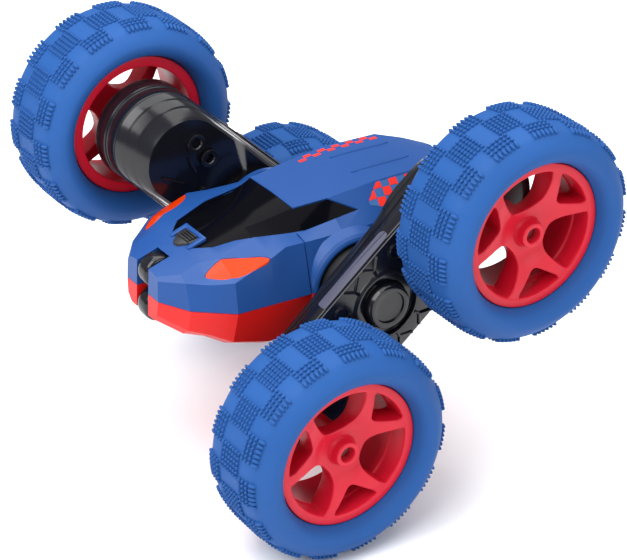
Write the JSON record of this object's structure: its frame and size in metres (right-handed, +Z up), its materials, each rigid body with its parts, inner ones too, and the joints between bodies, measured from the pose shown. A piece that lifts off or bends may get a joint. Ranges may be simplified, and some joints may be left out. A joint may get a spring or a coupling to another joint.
{
  "type": "rc stunt car",
  "caption": "Radio-controlled stunt car: a wedge-shaped body carried between geared arms that turn full circle, with a large soft tyre at each end of every arm.",
  "frame": {"origin": "on the ground under the middle of the arm axis, at the centre of the whole car's footprint", "axes": "-Y is the way the nose points, +X is the car's left and lies along the arm axis, +Z is up"},
  "size_m": [0.1676, 0.1444, 0.1369],
  "materials": {
    "blue_shell": "satin moulded plastic",
    "red_shell": "satin moulded plastic",
    "glazing": "high gloss",
    "black_trim": "satin",
    "lamp": "clear tinted lens",
    "led": "clear epoxy",
    "board": "solder mask",
    "cell": "shrink wrap",
    "screw": "plated",
    "shaft": "ground",
    "arm_black": "glossy moulded plastic",
    "arm_strip": "satin",
    "motor_can": "zinc plated",
    "gear": "natural acetal",
    "pinion": "machined",
    "tyre": "soft matt elastomer",
    "rim": "satin moulded plastic"
  },
  "bodies": {
    "chassis": {"upper_shell": "blue_shell", "lower_shell": "red_shell", "canopy": "glazing", "hood_scoop": "black_trim", "headlight_left": "lamp", "headlight_right": "lamp", "headlight_leds": "led", "main_board": "board", "battery_pack": "cell", "battery_door": "red_shell", "battery_door_screw": "screw", "roller_pins": "shaft", "pivot_tube": "shaft", "side_hub_left": "black_trim", "side_hub_right": "black_trim", "arm_retainers": "black_trim", "shell_screws": "screw"},
    "power_switch": {"power_switch": "black_trim"},
    "nose_roller_upper": {"nose_roller_upper": "black_trim"},
    "nose_roller_lower": {"nose_roller_lower": "black_trim"},
    "left_arm": {"left_arm_housing": "arm_black", "left_arm_cover": "arm_black", "left_arm_strip": "arm_strip", "left_arm_bush": "black_trim", "left_arm_screws": "screw", "left_drive_motor": "motor_can"},
    "left_wheel_a": {"left_tyre_a": "tyre", "left_rim_a": "rim", "left_axle_a": "shaft", "left_wheel_gear_a": "gear", "left_wheel_screw_a": "screw"},
    "left_wheel_b": {"left_tyre_b": "tyre", "left_rim_b": "rim", "left_axle_b": "shaft", "left_wheel_gear_b": "gear", "left_wheel_screw_b": "screw"},
    "left_idler_gear_a": {"left_idler_gear_a": "gear"},
    "left_centre_gear": {"left_centre_gear": "gear"},
    "left_idler_gear_b": {"left_idler_gear_b": "gear"},
    "left_motor_pinion": {"left_motor_pinion": "pinion"},
    "right_arm": {"right_arm_housing": "arm_black", "right_arm_cover": "arm_black", "right_arm_strip": "arm_strip", "right_arm_bush": "black_trim", "right_arm_screws": "screw", "right_drive_motor": "motor_can"},
    "right_wheel_a": {"right_tyre_a": "tyre", "right_rim_a": "rim", "right_axle_a": "shaft", "right_wheel_gear_a": "gear", "right_wheel_screw_a": "screw"},
    "right_wheel_b": {"right_tyre_b": "tyre", "right_rim_b": "rim", "right_axle_b": "shaft", "right_wheel_gear_b": "gear", "right_wheel_screw_b": "screw"},
    "right_idler_gear_a": {"right_idler_gear_a": "gear"},
    "right_centre_gear": {"right_centre_gear": "gear"},
    "right_idler_gear_b": {"right_idler_gear_b": "gear"},
    "right_motor_pinion": {"right_motor_pinion": "pinion"}
  },
  "joints": [
    {"name": "switch_slide", "type": "slide", "parent": "chassis", "child": "power_switch", "axis": [0, 1, 0], "range_m": [0, 0.002]},
    {"name": "roller_upper_spin", "type": "hinge", "parent": "chassis", "child": "nose_roller_upper", "pos_m": [0, -0.0586, 0.07447], "axis": [1, 0, 0], "continuous": true},
    {"name": "roller_lower_spin", "type": "hinge", "parent": "chassis", "child": "nose_roller_lower", "pos_m": [0, -0.0586, 0.06247], "axis": [1, 0, 0], "continuous": true},
    {"name": "left_arm_swing", "type": "hinge", "parent": "chassis", "child": "left_arm", "pos_m": [0, 0, 0.06847], "axis": [1, 0, 0], "continuous": true},
    {"name": "left_wheel_a_spin", "type": "hinge", "parent": "left_arm", "child": "left_wheel_a", "pos_m": [0, 0.03397, 0.09874], "axis": [1, 0, 0], "continuous": true},
    {"name": "left_wheel_b_spin", "type": "hinge", "parent": "left_arm", "child": "left_wheel_b", "pos_m": [0, -0.03397, 0.0382], "axis": [1, 0, 0], "continuous": true},
    {"name": "left_idler_a_spin", "type": "hinge", "parent": "left_arm", "child": "left_idler_gear_a", "pos_m": [0, 0.01923, 0.0856], "axis": [1, 0, 0], "continuous": true},
    {"name": "left_centre_spin", "type": "hinge", "parent": "left_arm", "child": "left_centre_gear", "pos_m": [0, 0, 0.06847], "axis": [1, 0, 0], "continuous": true},
    {"name": "left_idler_b_spin", "type": "hinge", "parent": "left_arm", "child": "left_idler_gear_b", "pos_m": [0, -0.01923, 0.05134], "axis": [1, 0, 0], "continuous": true},
    {"name": "left_pinion_spin", "type": "hinge", "parent": "left_arm", "child": "left_motor_pinion", "pos_m": [0, 0.04032, 0.10439], "axis": [1, 0, 0], "continuous": true},
    {"name": "right_arm_swing", "type": "hinge", "parent": "chassis", "child": "right_arm", "pos_m": [0, 0, 0.06847], "axis": [1, 0, 0], "continuous": true},
    {"name": "right_wheel_a_spin", "type": "hinge", "parent": "right_arm", "child": "right_wheel_a", "pos_m": [0, -0.03397, 0.09874], "axis": [1, 0, 0], "continuous": true},
    {"name": "right_wheel_b_spin", "type": "hinge", "parent": "right_arm", "child": "right_wheel_b", "pos_m": [0, 0.03397, 0.0382], "axis": [1, 0, 0], "continuous": true},
    {"name": "right_idler_a_spin", "type": "hinge", "parent": "right_arm", "child": "right_idler_gear_a", "pos_m": [0, -0.01923, 0.0856], "axis": [1, 0, 0], "continuous": true},
    {"name": "right_centre_spin", "type": "hinge", "parent": "right_arm", "child": "right_centre_gear", "pos_m": [0, 0, 0.06847], "axis": [1, 0, 0], "continuous": true},
    {"name": "right_idler_b_spin", "type": "hinge", "parent": "right_arm", "child": "right_idler_gear_b", "pos_m": [0, 0.01923, 0.05134], "axis": [1, 0, 0], "continuous": true},
    {"name": "right_pinion_spin", "type": "hinge", "parent": "right_arm", "child": "right_motor_pinion", "pos_m": [0, -0.04032, 0.10439], "axis": [1, 0, 0], "continuous": true}
  ],
  "couplings": [
    {"joint": "left_wheel_b_spin", "follows": "left_wheel_a_spin", "ratio": 1},
    {"joint": "left_idler_a_spin", "follows": "left_wheel_a_spin", "ratio": -0.46296},
    {"joint": "left_centre_spin", "follows": "left_wheel_a_spin", "ratio": 0.5102},
    {"joint": "left_idler_b_spin", "follows": "left_wheel_a_spin", "ratio": -0.46296},
    {"joint": "left_pinion_spin", "follows": "left_wheel_a_spin", "ratio": -2.7778},
    {"joint": "right_wheel_b_spin", "follows": "right_wheel_a_spin", "ratio": 1},
    {"joint": "right_idler_a_spin", "follows": "right_wheel_a_spin", "ratio": -0.46296},
    {"joint": "right_centre_spin", "follows": "right_wheel_a_spin", "ratio": 0.5102},
    {"joint": "right_idler_b_spin", "follows": "right_wheel_a_spin", "ratio": -0.46296},
    {"joint": "right_pinion_spin", "follows": "right_wheel_a_spin", "ratio": -2.7778}
  ]
}
